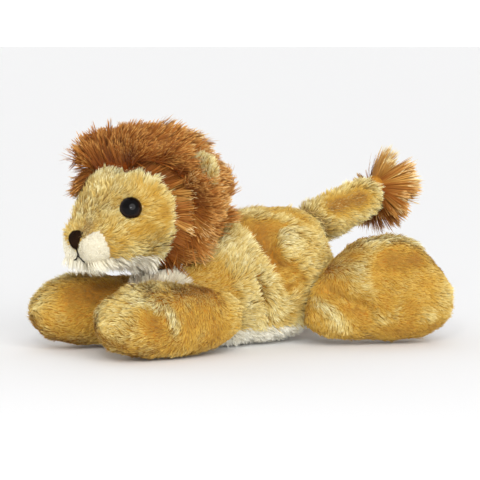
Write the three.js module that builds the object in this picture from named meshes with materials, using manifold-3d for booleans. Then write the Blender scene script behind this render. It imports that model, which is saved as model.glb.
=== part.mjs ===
// A small plush lion lying on its belly, in millimetres, +Z up.
// It faces -X and its left side is towards -Y. It rests on z = 0.
// Each sewn part is a fabric cover with its filling inside: stuffing, and pellet bags in belly and paws.

import * as THREE from 'three';
import { mergeVertices } from 'three/addons/utils/BufferGeometryUtils.js';
import Module from 'manifold-3d';

const wasm = await Module();
wasm.setup();

// Fabric and clearances
const coverThickness = 2.4;
const seamGap = 0.3;
const turningGap = 0.8;
const restDepth = 0.5;
const overrun = 4;
const weldTolerance = 1e-4;
const probeShare = 1e-3;

// Torso
const neckX = -50.5;
const chestReach = 7.5;
const torsoLength = 103.5;
const torsoHalfWidth = 28.5;
const torsoHalfHeight = 31;
const bellyPanelHeight = 10;
const panelBendX = -22;
const bellyBagHeight = 17;

// Head
const faceReach = 38.5;
const headLength = 64.5;
const headHalfWidth = 28;
const headHalfHeight = 27.5;
const headMiddleZ = 66.5;
const neckRadius = 15;
const muzzleLength = 9.5;
const muzzleDrop = 10;
const chinDrop = 22.5;
const chinLength = 46;

// Nose
const noseWidth = 12;
const noseHeight = 10;
const noseProud = 3.4;
const noseDrop = 13.5;

// Eyes, each with a ridged stem and a locking washer
const eyeDiameter = 10.6;
const eyeDomeHeight = 4.4;
const eyeFlange = 0.8;
const eyeSink = 1;
const stemDiameter = 3.6;
const stemLength = 9;
const stemRidge = 0.35;
const washerDiameter = 10;
const washerThickness = 1.1;
const washerCollar = 1.2;
const washerPlay = 0.3;

// Mane and ears
const maneRadius = 37.3;
const maneHalfHeight = 33.6;
const maneLift = 3.5;
const earLength = 15.5;
const earHalfWidth = 8;
const earHalfThickness = 2.4;

// Front legs
const frontLegLength = 78;
const frontLegHalfWidth = 19;
const frontLegHalfHeight = 17.8;
const frontLegSpread = 28;
const shoulderSpread = 25.5;
const shoulderX = -17.5;

// Hind legs
const hindLegLength = 71.5;
const hindLegHalfWidth = 22;
const hindLegHalfHeight = 25.5;
const hipX = 14;
const hipSpread = 27;
const hindFootSpread = 50;

// Tail
const tailLength = 51;
const tailHalfWidth = 10;
const tailRise = 17.5;
const tailSeatDepth = 11.5;
const tailRootZ = 51;
const tuftLength = 28;
const tuftHalfHeight = 18.2;
const tuftHalfWidth = 13;
const tuftOverlap = 4;

// How each form swells and tapers from its start to its end, as shares of its half sizes
const torsoWidthShares = [0.74, 0.84, 0.94, 1, 1.02, 1.0, 0.94];
const torsoHeightShares = [0.64, 0.79, 0.92, 0.97, 1.01, 1.09, 1.05];
const torsoRiseShares = [-0.05, -0.03, -0.08, -0.03, 0.01, 0.07, 0.1];
const headWidthShares = [1.16, 1, 0.97, 0.99, 1.01, 1.04, 1.06];
const headHeightShares = [0.92, 0.9, 0.96, 1, 1.02, 0.98, 0.92];
const headRiseShares = [-0.56, -0.32, -0.08, 0.02, 0, -0.02, -0.06];
const frontWidthShares = [0.96, 1.02, 1.02, 0.98, 0.94, 0.88, 0.8];
const frontHeightShares = [0.94, 1.02, 1.03, 0.98, 0.96, 0.94, 0.9];
const frontRiseShares = [-0.06, 0, 0, -0.03, -0.04, -0.04, 0];
const hindWidthShares = [0.62, 0.66, 0.74, 0.86, 1, 1.06, 1.02];
const hindHeightShares = [0.62, 0.8, 0.93, 0.99, 1, 0.91, 0.76];
const hindRiseShares = [-0.33, -0.19, -0.05, 0.01, -0.01, -0.1, -0.2];
const tailWidthShares = [1.14, 1.1, 1.05, 1, 0.97, 0.94, 0.92];
const tuftWidthShares = [0.62, 0.8, 0.95, 1, 1.02, 1.04, 1.04];
// The hairline seen from the side, as shares of the head's length from the face and of its half height
const hairlineShares = [
  [0.23, 0.66], [0.3, 0.76], [0.42, 0.72], [0.55, 0.46], [0.6, 0.2],
  [0.62, -0.02], [0.61, -0.3], [0.59, -0.55], [0.56, -0.8], [0.53, -0.96],
];
// Where the ridges of an eye's stem sit, as shares of its length
const ridgeShares = [5 / 6, 2 / 3, 1 / 2];
const evenShares = [1, 1, 1];
const levelShares = [0, 0, 0];

// Ends: 2 is the end of an ellipsoid, and more is blunter
const torsoBluntness = 3.1;
const limbBluntness = 2.5;
const hindBluntness = 2.9;
const tailBluntness = 4;
const roundBluntness = 2;
const squareness = 2.25;
const roundness = 2;
const headTopTaperShare = 0.12;
const noTaperShare = 0;
const noseTaperShare = -0.32;

// Places on a form, as shares of its length and of a turn round it
const eyeAlongShare = 0.245;
const eyeTurnShare = 0.042;
const earAlongShare = 0.72;
const earTurnShare = 0.085;
const pawBagShare = 0.42;
const footBagShare = 0.55;

// Faces
const formSides = 16;
const formRings = 12;
const headSides = 22;
const headRings = 13;
const torsoSides = 22;
const torsoRings = 14;
const fillSides = 12;
const fillRings = 8;
const smallSides = 12;
const smallRings = 8;
const maneSides = 22;
const maneRings = 12;
const eyeSides = 16;
const neckSides = 20;

const upward = new THREE.Vector3(0, 0, 1);
const turn = 2 * Math.PI;
const torsoFrontX = neckX - chestReach;
const torsoRearX = torsoFrontX + torsoLength;
const faceX = neckX - faceReach;
const muzzleTopZ = headMiddleZ - muzzleDrop;
const chinTopZ = headMiddleZ - chinDrop;
const noseMiddleZ = headMiddleZ - noseDrop;
const maneMiddleZ = headMiddleZ + maneLift;

const part = new THREE.Group();

const golden = { color: 0xc99a4a, roughness: 0.85, metalness: 0 };
const cream = { color: 0xe9e1cf, roughness: 0.88, metalness: 0 };
const orange = { color: 0xa8662a, roughness: 0.8, metalness: 0 };
const darkBrown = { color: 0x2b1a12, roughness: 0.75, metalness: 0 };
const glossBlack = { color: 0x120b08, roughness: 0.12, metalness: 0 };
const whiteFill = { color: 0xf4f2ec, roughness: 0.95, metalness: 0 };
const bagCloth = { color: 0xdfe3e6, roughness: 0.9, metalness: 0 };
const washerWhite = { color: 0xe8e8e6, roughness: 0.4, metalness: 0 };

// A smooth curve through evenly spaced shares, read at t from 0 to 1
function swell(shares, t) {
  const last = shares.length - 1;
  const place = t * last;
  const i = Math.min(Math.floor(place), last - 1);
  const u = place - i;
  const at = (k) => shares[Math.max(0, Math.min(last, k))];
  const [a, b, c, d] = [at(i - 1), at(i), at(i + 1), at(i + 2)];
  return b + (u / 2) * (c - a + u * (2 * a - 5 * b + 4 * c - d + u * (3 * (b - c) + d - a)));
}

// The point of a form's surface at a share of its length and an angle round it, grown outwards by grow
function surfacePoint(form, along, angle, grow = 0) {
  const axis = form.end.clone().sub(form.start);
  const length = axis.length();
  const forward = axis.normalize();
  const side = new THREE.Vector3().crossVectors(upward, forward).normalize();
  const up = new THREE.Vector3().crossVectors(forward, side);
  const end = Math.max(0, 1 - Math.abs(2 * along - 1) ** form.bluntness) ** (1 / form.bluntness);
  const halfWidth = end * (form.halfWidth * swell(form.widthShares, along) + grow);
  const halfHeight = end * (form.halfHeight * swell(form.heightShares, along) + grow);
  const power = 2 / form.squareness;
  const across = Math.sign(Math.cos(angle)) * Math.abs(Math.cos(angle)) ** power;
  const over = Math.sign(Math.sin(angle)) * Math.abs(Math.sin(angle)) ** power;
  return form.start.clone()
    .addScaledVector(forward, along * (length + 2 * grow) - grow)
    .addScaledVector(side, halfWidth * across * (1 - form.topTaperShare * over))
    .addScaledVector(up, halfHeight * over + form.halfHeight * swell(form.riseShares, along));
}

// The closed solid of a form: rings from one pole to the other, closer together at the ends
function stuffed(form, grow = 0, sides = form.sides, rings = form.rings) {
  const positions = [];
  const push = (point) => positions.push(point.x, point.y, point.z);
  push(surfacePoint(form, 0, 0, grow));
  for (let i = 1; i < rings; i += 1) {
    const along = (1 - Math.cos((Math.PI * i) / rings)) / 2;
    for (let j = 0; j < sides; j += 1) push(surfacePoint(form, along, (turn * j) / sides, grow));
  }
  push(surfacePoint(form, 1, 0, grow));
  const index = [];
  const at = (i, j) => 1 + (i - 1) * sides + (j % sides);
  const lastPole = 1 + (rings - 1) * sides;
  for (let j = 0; j < sides; j += 1) {
    index.push(0, at(1, j + 1), at(1, j));
    for (let i = 1; i < rings - 1; i += 1) {
      index.push(at(i, j), at(i, j + 1), at(i + 1, j));
      index.push(at(i, j + 1), at(i + 1, j + 1), at(i + 1, j));
    }
    index.push(lastPole, at(rings - 1, j), at(rings - 1, j + 1));
  }
  const geometry = new THREE.BufferGeometry();
  geometry.setAttribute('position', new THREE.Float32BufferAttribute(positions, 3));
  geometry.setIndex(index);
  return toSolid(geometry);
}

function toSolid(geometry) {
  const bare = geometry.clone();
  bare.deleteAttribute('normal');
  bare.deleteAttribute('uv');
  const merged = mergeVertices(bare, weldTolerance);
  return new wasm.Manifold(new wasm.Mesh({
    numProp: 3,
    vertProperties: new Float32Array(merged.attributes.position.array),
    triVerts: new Uint32Array(merged.index.array),
  }));
}

function add(name, solid, finish) {
  const mesh = solid.getMesh();
  const geometry = new THREE.BufferGeometry();
  geometry.setAttribute('position', new THREE.BufferAttribute(mesh.vertProperties, mesh.numProp));
  geometry.setIndex(new THREE.BufferAttribute(mesh.triVerts, 1));
  geometry.computeVertexNormals();
  const node = new THREE.Mesh(geometry, new THREE.MeshStandardMaterial(finish));
  node.name = name;
  part.add(node);
}

// A box between two corners
function block(low, high) {
  const size = high.clone().sub(low);
  const middle = high.clone().add(low).multiplyScalar(1 / 2);
  return toSolid(new THREE.BoxGeometry(size.x, size.y, size.z).translate(middle.x, middle.y, middle.z));
}

// An outline drawn from the side, as points [x, z], carried across the toy between two values of y
function sidePrism(outline, fromY, toY) {
  const shape = new THREE.Shape(outline.map(([x, z]) => new THREE.Vector2(x, z)));
  const geometry = new THREE.ExtrudeGeometry(shape, { depth: toY - fromY, bevelEnabled: false });
  return toSolid(geometry.rotateX(Math.PI / 2).translate(0, toY, 0));
}

// A turned profile, as points [radius, height], stood on a point and pointing along a direction
function turned(profile, foot, direction, sides) {
  const geometry = new THREE.LatheGeometry(profile.map(([r, h]) => new THREE.Vector2(r, h)), sides);
  const standing = new THREE.Quaternion().setFromUnitVectors(new THREE.Vector3(0, 1, 0), direction);
  return toSolid(geometry.applyQuaternion(standing).translate(foot.x, foot.y, foot.z));
}

const rod = (radius, from, direction, length, sides) =>
  turned([[0, 0], [radius, 0], [radius, length], [0, length]], from, direction, sides);

const far = torsoLength * 2;
const below = (height) => block(new THREE.Vector3(-far, -far, -far), new THREE.Vector3(far, far, height));
const inFrontOf = (x) => block(new THREE.Vector3(-far, -far, -far), new THREE.Vector3(x, far, far));

// Forms

const torsoForm = {
  start: new THREE.Vector3(torsoFrontX, 0, torsoHalfHeight - restDepth),
  end: new THREE.Vector3(torsoRearX, 0, torsoHalfHeight - restDepth),
  halfWidth: torsoHalfWidth,
  halfHeight: torsoHalfHeight,
  widthShares: torsoWidthShares,
  heightShares: torsoHeightShares,
  riseShares: torsoRiseShares,
  bluntness: torsoBluntness,
  squareness,
  topTaperShare: noTaperShare,
  sides: torsoSides,
  rings: torsoRings,
};

const headForm = {
  start: new THREE.Vector3(faceX, 0, headMiddleZ),
  end: new THREE.Vector3(faceX + headLength, 0, headMiddleZ),
  halfWidth: headHalfWidth,
  halfHeight: headHalfHeight,
  widthShares: headWidthShares,
  heightShares: headHeightShares,
  riseShares: headRiseShares,
  bluntness: roundBluntness,
  squareness: roundness,
  topTaperShare: headTopTaperShare,
  sides: headSides,
  rings: headRings,
};

const maneForm = {
  start: new THREE.Vector3(neckX - maneRadius, 0, maneMiddleZ),
  end: new THREE.Vector3(neckX + maneRadius, 0, maneMiddleZ),
  halfWidth: maneRadius,
  halfHeight: maneHalfHeight,
  widthShares: evenShares,
  heightShares: evenShares,
  riseShares: levelShares,
  bluntness: roundBluntness,
  squareness: roundness,
  topTaperShare: noTaperShare,
  sides: maneSides,
  rings: maneRings,
};

const frontLegForm = (hand) => ({
  start: new THREE.Vector3(shoulderX - frontLegLength, hand * frontLegSpread, frontLegHalfHeight - restDepth),
  end: new THREE.Vector3(shoulderX, hand * shoulderSpread, frontLegHalfHeight - restDepth),
  halfWidth: frontLegHalfWidth,
  halfHeight: frontLegHalfHeight,
  widthShares: frontWidthShares,
  heightShares: frontHeightShares,
  riseShares: frontRiseShares,
  bluntness: limbBluntness,
  squareness,
  topTaperShare: noTaperShare,
  sides: formSides,
  rings: formRings,
});

const hindLegForm = (hand) => ({
  start: new THREE.Vector3(hipX, hand * hipSpread, hindLegHalfHeight - restDepth),
  end: new THREE.Vector3(hipX + hindLegLength, hand * hindFootSpread, hindLegHalfHeight - restDepth),
  halfWidth: hindLegHalfWidth,
  halfHeight: hindLegHalfHeight,
  widthShares: hindWidthShares,
  heightShares: hindHeightShares,
  riseShares: hindRiseShares,
  bluntness: hindBluntness,
  squareness,
  topTaperShare: noTaperShare,
  sides: formSides,
  rings: formRings,
});

const tailRoot = new THREE.Vector3(torsoRearX - tailSeatDepth, 0, tailRootZ);
const tailDirection = new THREE.Vector3(Math.sqrt(tailLength ** 2 - tailRise ** 2), 0, tailRise).normalize();
const tailTip = tailRoot.clone().addScaledVector(tailDirection, tailLength);

const tailForm = {
  start: tailRoot,
  end: tailTip,
  halfWidth: tailHalfWidth,
  halfHeight: tailHalfWidth,
  widthShares: tailWidthShares,
  heightShares: tailWidthShares,
  riseShares: levelShares,
  bluntness: tailBluntness,
  squareness: roundness,
  topTaperShare: noTaperShare,
  sides: smallSides,
  rings: smallRings,
};

const tuftForm = {
  start: tailTip.clone().addScaledVector(tailDirection, -tuftOverlap),
  end: tailTip.clone().add(new THREE.Vector3(tuftLength - tuftOverlap, 0, 0)),
  halfWidth: tuftHalfWidth,
  halfHeight: tuftHalfHeight,
  widthShares: tuftWidthShares,
  heightShares: tuftWidthShares,
  riseShares: levelShares,
  bluntness: roundBluntness,
  squareness: roundness,
  topTaperShare: noTaperShare,
  sides: smallSides + 2,
  rings: smallRings,
};

// Torso: a cover that the head sits down into, a belly panel sewn into it, stuffing and a pellet bag

const neckDish = stuffed(maneForm, turningGap);
const torsoOuter = stuffed(torsoForm).subtract(below(0)).subtract(neckDish);
const torsoInner = stuffed(torsoForm, -coverThickness, fillSides, fillRings).subtract(below(coverThickness));
const torsoShell = torsoOuter.subtract(torsoInner);
const panelAcross = torsoHalfWidth + overrun;

// The panel's edge runs level along the flank and climbs in front of the shoulders to the throat
const bellyPanelRegion = (edge) => sidePrism([
  [torsoFrontX - overrun, -overrun],
  [torsoRearX - bellyPanelHeight - edge, -overrun],
  [torsoRearX - bellyPanelHeight - edge, bellyPanelHeight - edge],
  [panelBendX, bellyPanelHeight - edge],
  [neckX + chestReach - edge, maneMiddleZ - maneHalfHeight + overrun],
  [torsoFrontX - overrun, maneMiddleZ - maneHalfHeight + overrun],
], -panelAcross, panelAcross);
add('torso_cover', torsoShell.subtract(bellyPanelRegion(-seamGap)), golden);
add('belly_panel', torsoShell.intersect(bellyPanelRegion(0)), cream);

const torsoFill = stuffed(torsoForm, -coverThickness - seamGap, fillSides, fillRings)
  .subtract(below(coverThickness + seamGap))
  .subtract(neckDish);
add('torso_stuffing', torsoFill.subtract(below(bellyBagHeight)), whiteFill);
add('belly_pellet_bag', torsoFill.intersect(below(bellyBagHeight - seamGap)), bagCloth);

// Legs: each a cover cut where it is sewn to the torso, with stuffing and a pellet bag in the paw

const torsoSeat = stuffed(torsoForm, seamGap);

function addLeg(name, form, bagShare, bagAtStart) {
  const outer = stuffed(form).subtract(below(0)).subtract(torsoSeat).subtract(neckDish);
  const inner = stuffed(form, -coverThickness, fillSides, fillRings).subtract(below(coverThickness));
  const fill = stuffed(form, -coverThickness - seamGap, fillSides, fillRings)
    .subtract(below(coverThickness + seamGap))
    .subtract(torsoSeat)
    .subtract(neckDish);
  const splitX = form.start.x + bagShare * (form.end.x - form.start.x);
  const before = fill.intersect(inFrontOf(splitX - seamGap / 2));
  const after = fill.subtract(inFrontOf(splitX + seamGap / 2));
  add(`${name}_leg_cover`, outer.subtract(inner), golden);
  add(`${name}_leg_stuffing`, bagAtStart ? after : before, whiteFill);
  add(`${name}_paw_pellet_bag`, bagAtStart ? before : after, bagCloth);
}

for (const [sideName, hand] of [['left', -1], ['right', 1]]) {
  addLeg(`front_${sideName}`, frontLegForm(hand), pawBagShare, true);
  addLeg(`hind_${sideName}`, hindLegForm(hand), footBagShare, false);
}

// Tail: a tube sewn to the rump, with the tuft of long pile on its end

const tailSeat = stuffed(tailForm, seamGap);
add('tail_cover', stuffed(tailForm).subtract(torsoSeat)
  .subtract(stuffed(tailForm, -coverThickness, smallSides, smallRings)), golden);
add('tail_stuffing', stuffed(tailForm, -coverThickness - seamGap)
  .subtract(torsoSeat), whiteFill);
add('tail_tuft', stuffed(tuftForm).subtract(tailSeat), orange);

// Head: a cover with an open neck, two muzzle halves and a chin panel sewn into its front

const down = new THREE.Vector3(0, 0, -1);
const neckTop = new THREE.Vector3(neckX, 0, headMiddleZ);
const neckStub = (radius) => rod(radius, neckTop, down, headMiddleZ, neckSides);
const maneBall = stuffed(maneForm);
const headOuter = stuffed(headForm).add(neckStub(neckRadius).intersect(maneBall));
const headInner = stuffed(headForm, -coverThickness, fillSides, fillRings)
  .add(neckStub(neckRadius - coverThickness));
const headShell = headOuter.subtract(headInner);
const headSeat = stuffed(headForm, seamGap).add(neckStub(neckRadius + seamGap));

const eyes = [['left', -1], ['right', 1]].map(([sideName, hand]) => {
  const angle = hand > 0 ? turn * eyeTurnShare : turn / 2 - turn * eyeTurnShare;
  const seat = surfacePoint(headForm, eyeAlongShare, angle);
  const ahead = surfacePoint(headForm, eyeAlongShare + probeShare, angle).sub(seat);
  const around = surfacePoint(headForm, eyeAlongShare, angle + probeShare).sub(seat);
  const outward = new THREE.Vector3().crossVectors(around, ahead).normalize();
  return { sideName, seat: seat.addScaledVector(outward, -eyeSink), outward };
});

const stemRadius = stemDiameter / 2;
const washerHole = stemRadius + stemRidge + washerPlay;
const stemInward = eyeSink - coverThickness;
const washerPocketRadius = washerDiameter / 2 + turningGap;
const washerTop = stemInward - seamGap * 2;
const eyeWells = eyes.map(({ seat, outward }) => {
  const well = rod(eyeDiameter / 2 + seamGap, seat, outward, overrun, eyeSides);
  const hole = rod(washerHole, seat.clone().addScaledVector(outward, -overrun), outward, overrun * 2, eyeSides);
  const pocketFoot = seat.clone().addScaledVector(outward, washerTop + seamGap - overrun);
  return well.add(hole).add(rod(washerPocketRadius, pocketFoot, outward, overrun, eyeSides));
});

const muzzleBackX = faceX + muzzleLength;
const chinBackX = faceX + chinLength;
const noseBackX = faceX + muzzleLength / 2;
const muzzleRegion = (edge, fromY, toY) => sidePrism([
  [faceX - overrun, chinTopZ - edge],
  [muzzleBackX + edge, chinTopZ - edge],
  [muzzleBackX + edge, chinTopZ + coverThickness + edge],
  [noseBackX + edge, muzzleTopZ + edge],
  [faceX - overrun, muzzleTopZ + edge],
], fromY, toY);
const chinRegion = (edge) => sidePrism([
  [faceX - overrun, chinTopZ - seamGap + edge],
  [chinBackX + edge, chinTopZ - seamGap + edge],
  [chinBackX + edge, maneMiddleZ - maneHalfHeight - overrun],
  [faceX - overrun, maneMiddleZ - maneHalfHeight - overrun],
], -headHalfWidth, headHalfWidth);

const neckBlank = neckStub(neckRadius + seamGap);
const headBare = headShell
  .subtract(muzzleRegion(seamGap, -headHalfWidth, headHalfWidth))
  .subtract(chinRegion(seamGap).subtract(neckBlank));
add('head_cover', eyeWells.reduce((solid, well) => solid.subtract(well), headBare), golden);
add('muzzle_left', headShell.intersect(muzzleRegion(0, -headHalfWidth, -seamGap / 2)), cream);
add('muzzle_right', headShell.intersect(muzzleRegion(0, seamGap / 2, headHalfWidth)), cream);
add('chin_panel', headShell.intersect(chinRegion(0)).subtract(neckStub(neckRadius + seamGap)), cream);

const headFill = stuffed(headForm, -coverThickness - seamGap, fillSides, fillRings)
  .add(neckStub(neckRadius - coverThickness - seamGap).intersect(maneBall));
add('head_stuffing', eyes.reduce((solid, { seat, outward }) => solid.subtract(
  rod(washerPocketRadius, seat.clone().addScaledVector(outward, -stemLength - turningGap), outward,
    stemLength + overrun, eyeSides),
), headFill), whiteFill);

// Each eye: a dome on a flange, with a stem that has three ridges
const ridgeRadius = stemRadius + stemRidge;
const domeSteps = 6;
const domePoints = Array.from({ length: domeSteps }, (_, k) => {
  const a = (Math.PI / 2) * (k / domeSteps);
  return [(eyeDiameter / 2) * Math.cos(a), eyeFlange + (eyeDomeHeight - eyeFlange) * Math.sin(a)];
});
const eyeProfile = [
  [0, -stemLength],
  [stemRadius - stemRidge, -stemLength],
  ...ridgeShares.flatMap((share) => [[ridgeRadius, -share * stemLength], [stemRadius, -share * stemLength]]),
  [stemRadius, seamGap],
  [eyeDiameter / 2 - stemRidge, seamGap],
  ...domePoints,
  [0, eyeDomeHeight],
];

// Its washer: a flat ring with a raised collar, gripped by the ridges
const washerProfile = [
  [washerHole, 0],
  [washerHole + washerCollar, 0],
  [washerHole + washerCollar, washerCollar],
  [washerDiameter / 2, washerCollar],
  [washerDiameter / 2, washerCollar + washerThickness],
  [washerHole, washerCollar + washerThickness],
  [washerHole, 0],
];

for (const { sideName, seat, outward } of eyes) {
  add(`eye_${sideName}`, turned(eyeProfile, seat, outward, eyeSides), glossBlack);
  const washerFoot = seat.clone().addScaledVector(
    outward,
    washerTop - washerThickness - washerCollar,
  );
  add(`eye_washer_${sideName}`, turned(washerProfile, washerFoot, outward, eyeSides), washerWhite);
}

// Nose: a domed pad on the top of the muzzle, wider at its top than at its bottom
const noseForm = {
  start: new THREE.Vector3(faceX - noseProud, 0, noseMiddleZ),
  end: new THREE.Vector3(faceX + noseWidth, 0, noseMiddleZ),
  halfWidth: noseWidth / 2,
  halfHeight: noseHeight / 2,
  widthShares: evenShares,
  heightShares: evenShares,
  riseShares: levelShares,
  bluntness: limbBluntness,
  squareness,
  topTaperShare: noseTaperShare,
  sides: formSides,
  rings: formRings,
};
add('nose', stuffed(noseForm).subtract(headSeat), darkBrown);

// Ears: flat stuffed flaps that stand on the back of the head and reach out of the mane
const earAngles = [['left', turn / 2 - turn * earTurnShare], ['right', turn * earTurnShare]];
const ears = earAngles.map(([sideName, angle]) => {
  const root = surfacePoint(headForm, earAlongShare, angle);
  const middle = new THREE.Vector3(neckX, 0, maneMiddleZ);
  const outward = root.clone().sub(middle).normalize();
  const form = {
    start: root.clone().addScaledVector(outward, -coverThickness),
    end: root.clone().addScaledVector(outward, earLength),
    halfWidth: earHalfThickness,
    halfHeight: earHalfWidth,
    widthShares: evenShares,
    heightShares: evenShares,
    riseShares: levelShares,
    bluntness: limbBluntness,
    squareness: roundness,
    topTaperShare: noTaperShare,
    sides: smallSides,
    rings: smallRings,
  };
  add(`ear_${sideName}`, stuffed(form).subtract(headSeat), golden);
  return form;
});

// Mane: a cap of long pile from the hairline to the back of the head, open at the face and the neck
const maneTopZ = maneMiddleZ + maneHalfHeight + overrun;
const maneBottomZ = maneMiddleZ - maneHalfHeight - overrun;
const maneBackX = neckX + maneRadius + overrun;
const maneRegion = sidePrism([
  ...hairlineShares.map(([along, over]) => [faceX + headLength * along, headMiddleZ + headHalfHeight * over]),
  [faceX + headLength * hairlineShares.at(-1)[0], maneBottomZ],
  [maneBackX, maneBottomZ],
  [maneBackX, maneTopZ],
  [faceX + headLength * hairlineShares[0][0], maneTopZ],
], -maneRadius - overrun, maneRadius + overrun);
const maneWhole = maneBall.intersect(maneRegion).subtract(headSeat);
add('mane', ears.reduce((solid, ear) => solid.subtract(stuffed(ear, seamGap)), maneWhole), orange);

// The middle of the toy's outline stands over the origin
const outline = new THREE.Box3().setFromObject(part);
const middle = outline.getCenter(new THREE.Vector3());
part.position.set(-middle.x, -middle.y, 0);
part.updateMatrixWorld(true);

export default part;
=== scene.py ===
# %% [markdown]
# This lesson dresses a small plush lion that lies on its belly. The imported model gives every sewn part
# its place and size in metres. Here each part gets a closed fabric skin, and on it the pile: short
# golden pile on the body, cream pile below, and a long orange mane and tail tuft.
# The lion faces -X, its left side is towards -Y, and the floor is z = 0.

# %% Frame and tools
import math

import bpy
import numpy as np
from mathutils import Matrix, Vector


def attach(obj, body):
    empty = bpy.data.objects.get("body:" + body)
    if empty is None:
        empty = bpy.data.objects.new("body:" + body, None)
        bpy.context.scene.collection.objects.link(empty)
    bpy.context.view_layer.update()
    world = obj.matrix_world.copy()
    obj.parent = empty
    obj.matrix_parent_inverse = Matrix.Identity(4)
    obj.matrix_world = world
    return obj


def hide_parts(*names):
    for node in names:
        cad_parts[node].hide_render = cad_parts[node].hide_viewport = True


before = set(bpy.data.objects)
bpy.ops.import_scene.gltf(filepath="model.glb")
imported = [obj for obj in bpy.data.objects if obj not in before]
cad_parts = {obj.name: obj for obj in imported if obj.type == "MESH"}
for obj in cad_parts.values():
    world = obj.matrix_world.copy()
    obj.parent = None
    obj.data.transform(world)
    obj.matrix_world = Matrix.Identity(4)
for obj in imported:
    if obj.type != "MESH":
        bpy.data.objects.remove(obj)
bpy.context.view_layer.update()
MM = 0.001

# %% [markdown]
# The camera stands to the left of the lion's face, a little above it. It is far away and has a long
# lens, so that the near and far paws keep about the same scale. It aims at the middle of the toy.

# %% Camera
def placed(name, data):
    """A new object of the given data, in the scene."""
    made = bpy.data.objects.new(name, data)
    bpy.context.collection.objects.link(made)
    return made


def aim(obj, place, target):
    """Puts an object at a place and turns its -Z axis towards a target, with its Y axis upwards."""
    obj.location = place
    obj.rotation_euler = (Vector(target) - Vector(place)).to_track_quat("-Z", "Y").to_euler()


AZIMUTH, ELEVATION, DISTANCE = math.radians(-35), math.radians(7), 1.2
AIM_RIGHT, AIM_UP = -4.2, 47.7
back = Vector((
    math.sin(AZIMUTH) * math.cos(ELEVATION),
    -math.cos(AZIMUTH) * math.cos(ELEVATION),
    math.sin(ELEVATION),
))
right = Vector((math.cos(AZIMUTH), math.sin(AZIMUTH), 0))
above = back.cross(right)

camera = placed("camera", bpy.data.cameras.new("camera"))
camera.data.lens = 192.6
camera.data.clip_start, camera.data.clip_end = 0.05, 20
aim(camera, back * DISTANCE, right * AIM_RIGHT * MM + above * AIM_UP * MM)
bpy.context.scene.camera = camera
print("camera", [round(v, 3) for v in camera.location], "lens", camera.data.lens)

# %% [markdown]
# The studio is a pale floor and a white surround that is brightest at the horizon. A sun with a wide
# angle, from the front, gives soft shade, a weaker one from behind keeps the far side readable, and a
# small square lamp makes the bright spot in the eyes.

# %% Floor and light
def feed(tree, node, sockets):
    """Gives each named socket of a node a value, or the output of another node."""
    for key, value in sockets.items():
        if isinstance(value, bpy.types.NodeSocket):
            tree.links.new(value, node.inputs[key])
        else:
            node.inputs[key].default_value = value


def new_node(tree, kind, sockets=None):
    """A new node of a kind, with its sockets fed."""
    node = tree.nodes.new(kind)
    feed(tree, node, sockets or {})
    return node


def new_finish(name, roughness, gloss=0.5):
    """A new material with a roughness and a strength of plain gloss, its node tree and its shader."""
    made = bpy.data.materials.new(name)
    made.use_nodes = True
    shader = made.node_tree.nodes["Principled BSDF"]
    feed(made.node_tree, shader, {"Roughness": roughness, "Specular IOR Level": gloss})
    return made, made.node_tree, shader


floor_mesh = bpy.data.meshes.new("floor")
floor_mesh.from_pydata([(-60, -60, 0), (60, -60, 0), (60, 60, 0), (-60, 60, 0)], [], [(0, 1, 2, 3)])
floor = placed("floor", floor_mesh)
floor_finish, floor_tree, floor_shader = new_finish("pale_floor", 1)
feed(floor_tree, floor_shader, {"Base Color": (0.93, 0.93, 0.935, 1)})
floor.data.materials.append(floor_finish)

world = bpy.data.worlds.new("surround")
bpy.context.scene.world = world
world.use_nodes = True
sky = world.node_tree
look = new_node(sky, "ShaderNodeTexCoord")
height = new_node(sky, "ShaderNodeSeparateXYZ", {0: look.outputs["Generated"]})
fall = new_node(sky, "ShaderNodeMapRange", {
    0: height.outputs[2], "From Min": 0.03, "From Max": 0.3, "To Min": 1.18, "To Max": 0.53,
})
feed(sky, sky.nodes["Background"], {"Color": (1, 1, 1, 1), "Strength": fall.outputs[0]})

for name, place, strength, spread in (
    ("soft_sun", (-0.42, -1.0, 0.52), 2.3, 50), ("rear_fill", (0.5, 0.85, 0.35), 0.8, 100),
):
    sun = placed(name, bpy.data.lights.new(name, "SUN"))
    sun.data.energy, sun.data.angle = strength, math.radians(spread)
    aim(sun, place, (0, 0, 0))
catch = placed("catch_light", bpy.data.lights.new("catch_light", "AREA"))
catch.data.size, catch.data.energy = 0.07, 1.6
aim(catch, (-0.58, -0.72, 0.36), (-0.08, 0, 0.065))
bpy.context.scene.view_settings.view_transform = "Standard"

# %% [markdown]
# Every form below is worked out as whole arrays of numbers, which is fast and short. A few small tools
# do the common work: reading a mesh, writing one, and a soft random ripple from place to place.

# %% Tools for whole meshes
def read_all(items, key, width, kind):
    """One property of all points, corners or faces of a mesh, as an array with `width` columns."""
    values = np.empty(len(items) * width, kind)
    items.foreach_get(key, values)
    return values.reshape(-1, width)


def read_mesh(mesh):
    """The points, triangle corners and point normals of a mesh, as arrays."""
    mesh.calc_loop_triangles()
    corners = read_all(mesh.loop_triangles, "vertices", 3, np.int32)
    return read_all(mesh.vertices, "co", 3, float), corners, read_all(mesh.vertex_normals, "vector", 3, float)


def write_triangles(name, points, corners):
    """A new object from points and triangles, both whole arrays."""
    mesh = bpy.data.meshes.new(name)
    mesh.vertices.add(len(points))
    mesh.vertices.foreach_set("co", points.astype(np.float32).ravel())
    mesh.loops.add(corners.size)
    mesh.loops.foreach_set("vertex_index", corners.astype(np.int32).ravel())
    mesh.polygons.add(len(corners))
    mesh.polygons.foreach_set("loop_start", np.arange(0, corners.size, 3, dtype=np.int32))
    mesh.polygons.foreach_set("use_smooth", np.ones(len(corners), bool))
    mesh.update(calc_edges=True)
    return placed(name, mesh)


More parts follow.
